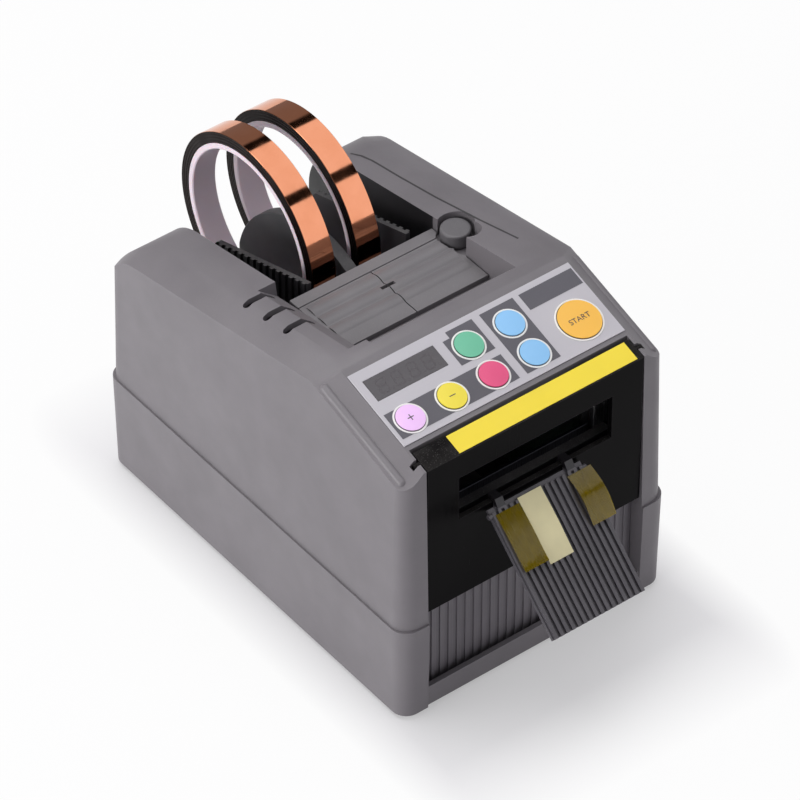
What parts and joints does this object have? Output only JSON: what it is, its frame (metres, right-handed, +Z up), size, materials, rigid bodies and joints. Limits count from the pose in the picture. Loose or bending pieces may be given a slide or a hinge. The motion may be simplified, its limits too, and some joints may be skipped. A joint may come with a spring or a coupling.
{
  "type": "electric tape dispenser",
  "caption": "Desk machine that feeds film tape from rolls in its rear bay, cuts it and slides it down a front chute, with a sloped key panel.",
  "frame": {"origin": "on the table under the middle of the whole object, chute and rolls included", "axes": "+Z up, +Y from the front with the chute to the back with the rolls, +X to the right as seen by the user"},
  "size_m": [0.14, 0.262, 0.1676],
  "materials": {
    "case_plastic": "fine moulded texture",
    "smoked_plastic": "polished",
    "black_plastic": "moulded",
    "soft_rubber": "matte",
    "bright_steel": "brushed",
    "overlay_film": "satin printed film",
    "overlay_ink": "satin printed film",
    "white_plastic": "satin",
    "dark_lens": "polished",
    "lilac_key": "satin",
    "yellow_key": "satin",
    "pink_key": "satin",
    "green_key": "satin",
    "blue_key": "satin",
    "orange_key": "satin",
    "circuit_board": "lacquered",
    "copper_film": "wound film",
    "core_plastic": "satin",
    "amber_film": "clear film",
    "yellow_film": "satin printed film",
    "pinion_brass": "cut"
  },
  "bodies": {
    "case": {"lower_case": "case_plastic", "upper_case": "case_plastic", "front_grille": "case_plastic", "rubber_feet": "soft_rubber", "case_screws": "bright_steel", "panel_overlay": "overlay_film", "panel_fields": "overlay_ink", "key_rims": "white_plastic", "display_lens": "dark_lens", "display_module": "black_plastic", "control_board": "circuit_board", "key_switches": "black_plastic", "roll_cradle": "black_plastic", "roll_divider": "black_plastic", "left_guide_plate": "case_plastic", "right_guide_plate": "case_plastic", "rear_guide_strip": "case_plastic", "left_feed_frame": "bright_steel", "right_feed_frame": "bright_steel", "frame_tie_bars": "bright_steel", "motor_plate": "bright_steel", "pressure_springs": "bright_steel", "feed_motor": "bright_steel", "fixed_blade": "bright_steel", "fixed_blade_bar": "black_plastic", "blade_rails": "bright_steel", "cutter_motor": "bright_steel", "tape_sensor": "black_plastic", "cover_switch": "black_plastic", "main_board": "circuit_board", "power_inlet": "black_plastic", "power_switch": "black_plastic"},
    "front_cover": {"front_cover": "smoked_plastic", "flange_strip": "yellow_film", "chute": "black_plastic", "tape_pieces": "amber_film"},
    "left_roll": {"left_tape_core": "core_plastic", "left_tape_winding": "copper_film"},
    "right_roll": {"right_tape_core": "core_plastic", "right_tape_winding": "copper_film"},
    "front_support": {"front_support_roller": "bright_steel"},
    "rear_support": {"rear_support_roller": "bright_steel"},
    "guide_knob": {"guide_knob": "case_plastic"},
    "feed_roller": {"feed_roller": "soft_rubber", "feed_shaft": "bright_steel", "feed_gear": "white_plastic"},
    "pressure_roller": {"pressure_roller": "white_plastic", "pressure_shaft": "bright_steel"},
    "motor_pinion": {"motor_pinion": "pinion_brass"},
    "crank": {"crank_disc": "bright_steel"},
    "blade_carrier": {"blade_carrier": "black_plastic", "moving_blade": "bright_steel"},
    "power_rocker": {"power_rocker": "black_plastic"},
    "plus_key": {"plus_key": "lilac_key"},
    "minus_key": {"minus_key": "yellow_key"},
    "pink_key": {"pink_key": "pink_key"},
    "green_key": {"green_key": "green_key"},
    "upper_blue_key": {"upper_blue_key": "blue_key"},
    "lower_blue_key": {"lower_blue_key": "blue_key"},
    "start_key": {"start_key": "orange_key"}
  },
  "joints": [
    {"name": "cover_hinge", "type": "hinge", "parent": "case", "child": "front_cover", "pos_m": [0, -0.0801, 0.13247], "axis": [-1, 0, 0], "range_deg": [0, 100]},
    {"name": "plus_key_press", "type": "slide", "parent": "case", "child": "plus_key", "axis": [0, 0.284, -0.9588], "range_m": [0, 0.0005], "stiffness_N_per_m": 400, "springref_m": -0.0003},
    {"name": "minus_key_press", "type": "slide", "parent": "case", "child": "minus_key", "axis": [0, 0.284, -0.9588], "range_m": [0, 0.0005], "stiffness_N_per_m": 400, "springref_m": -0.0003},
    {"name": "pink_key_press", "type": "slide", "parent": "case", "child": "pink_key", "axis": [0, 0.284, -0.9588], "range_m": [0, 0.0005], "stiffness_N_per_m": 400, "springref_m": -0.0003},
    {"name": "green_key_press", "type": "slide", "parent": "case", "child": "green_key", "axis": [0, 0.284, -0.9588], "range_m": [0, 0.0005], "stiffness_N_per_m": 400, "springref_m": -0.0003},
    {"name": "upper_blue_key_press", "type": "slide", "parent": "case", "child": "upper_blue_key", "axis": [0, 0.284, -0.9588], "range_m": [0, 0.0005], "stiffness_N_per_m": 400, "springref_m": -0.0003},
    {"name": "lower_blue_key_press", "type": "slide", "parent": "case", "child": "lower_blue_key", "axis": [0, 0.284, -0.9588], "range_m": [0, 0.0005], "stiffness_N_per_m": 400, "springref_m": -0.0003},
    {"name": "start_key_press", "type": "slide", "parent": "case", "child": "start_key", "axis": [0, 0.284, -0.9588], "range_m": [0, 0.0005], "stiffness_N_per_m": 400, "springref_m": -0.0003},
    {"name": "feed_turn", "type": "hinge", "parent": "case", "child": "feed_roller", "pos_m": [0, -0.0421, 0.092], "axis": [1, 0, 0], "continuous": true},
    {"name": "pressure_turn", "type": "hinge", "parent": "case", "child": "pressure_roller", "pos_m": [0, -0.0421, 0.109], "axis": [1, 0, 0], "continuous": true},
    {"name": "pinion_turn", "type": "hinge", "parent": "case", "child": "motor_pinion", "pos_m": [0, -0.02764, 0.07476], "axis": [1, 0, 0], "continuous": true},
    {"name": "left_roll_turn", "type": "hinge", "parent": "case", "child": "left_roll", "pos_m": [0, 0.085, 0.12165], "axis": [1, 0, 0], "continuous": true},
    {"name": "right_roll_turn", "type": "hinge", "parent": "case", "child": "right_roll", "pos_m": [0, 0.085, 0.12165], "axis": [1, 0, 0], "continuous": true},
    {"name": "front_support_turn", "type": "hinge", "parent": "case", "child": "front_support", "pos_m": [0, 0.05985, 0.07809], "axis": [1, 0, 0], "continuous": true},
    {"name": "rear_support_turn", "type": "hinge", "parent": "case", "child": "rear_support", "pos_m": [0, 0.10625, 0.07606], "axis": [1, 0, 0], "continuous": true},
    {"name": "crank_turn", "type": "hinge", "parent": "case", "child": "crank", "pos_m": [-0.01, -0.0692, 0.066], "axis": [0, 1, 0], "range_deg": [0, 180]},
    {"name": "blade_slide", "type": "slide", "parent": "case", "child": "blade_carrier", "axis": [0, 0, -1], "range_m": [0, 0.009]},
    {"name": "knob_turn", "type": "hinge", "parent": "case", "child": "guide_knob", "pos_m": [0.0416, 0.0199, 0.1305], "axis": [0, 0, 1], "range_deg": [0, 90]},
    {"name": "rocker_tilt", "type": "hinge", "parent": "case", "child": "power_rocker", "pos_m": [-0.05208, 0.1154, 0.024], "axis": [1, 0, 0], "range_deg": [-8, 8]}
  ],
  "couplings": [
    {"joint": "pressure_turn", "follows": "feed_turn", "ratio": -1.1842},
    {"joint": "pinion_turn", "follows": "feed_turn", "ratio": -2},
    {"joint": "left_roll_turn", "follows": "feed_turn", "ratio": -0.19565},
    {"joint": "right_roll_turn", "follows": "feed_turn", "ratio": -0.19565},
    {"joint": "front_support_turn", "follows": "feed_turn", "ratio": 2.25},
    {"joint": "rear_support_turn", "follows": "feed_turn", "ratio": 2.25},
    {"joint": "crank_turn", "follows": "blade_slide", "rad_per_m": 349.06}
  ]
}
